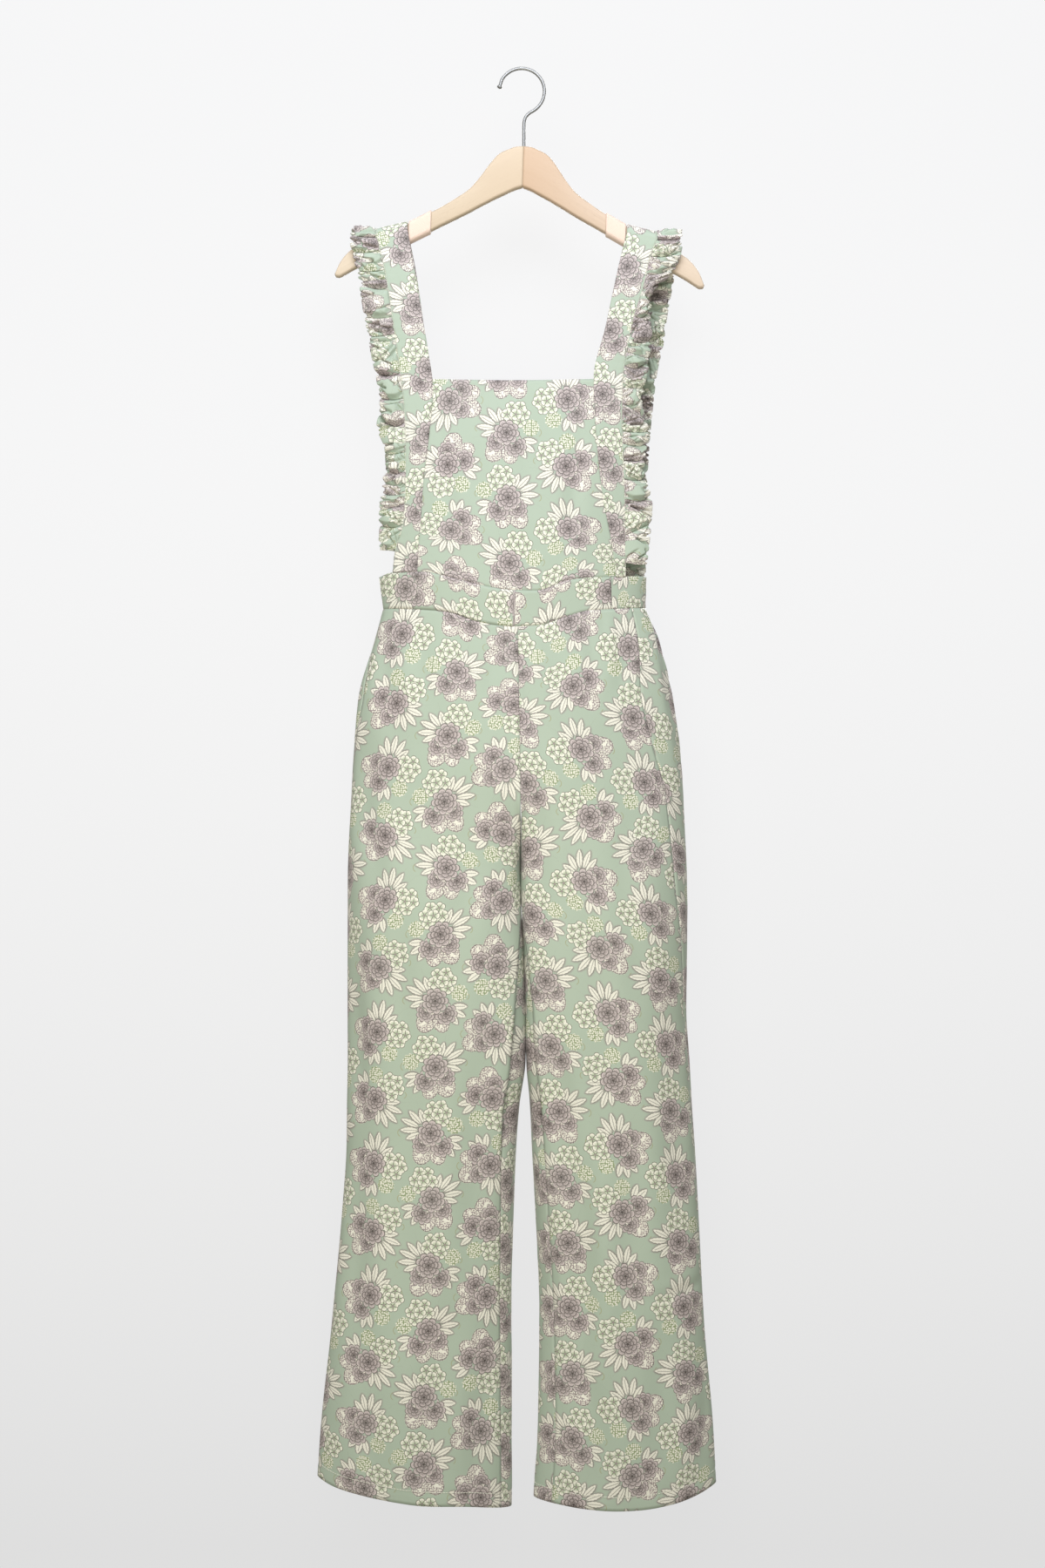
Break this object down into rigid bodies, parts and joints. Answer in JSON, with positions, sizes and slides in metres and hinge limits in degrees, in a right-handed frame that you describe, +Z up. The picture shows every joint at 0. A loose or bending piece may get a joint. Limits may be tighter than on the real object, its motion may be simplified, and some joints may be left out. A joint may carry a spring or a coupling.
{
  "type": "ruffle-strap dungarees on a wooden hanger",
  "caption": "Wide-leg dungarees with a square bib, gathered ruffles along both straps and an elastic back waist, hung on a wooden hanger with a wire hook.",
  "frame": {"origin": "inside top of the hook, where a rail touches it", "axes": "+Z up, -Y to the garment's front, +X to the right as seen from the front"},
  "size_m": [0.4573, 0.1254, 1.6507],
  "materials": {
    "printed_twill": "soft twill with a slight sheen, sage green with a cream and mauve-grey botanical print",
    "beech_pale": "satin clear lacquer, pale beech",
    "beech_warm": "satin clear lacquer, warmer beech",
    "knit_sleeve": "matte cream knit",
    "hook_wire": "polished wire"
  },
  "bodies": {
    "root": {"bib": "printed_twill", "strap_left": "printed_twill", "strap_right": "printed_twill", "ruffle_left": "printed_twill", "ruffle_right": "printed_twill", "waistband_front": "printed_twill", "waistband_back": "printed_twill", "trouser_front_left": "printed_twill", "trouser_front_right": "printed_twill", "trouser_back_left": "printed_twill", "trouser_back_right": "printed_twill", "hanger_left": "beech_pale", "hanger_right": "beech_warm", "grip_left": "knit_sleeve", "grip_right": "knit_sleeve", "hook": "hook_wire"}
  },
  "joints": []
}
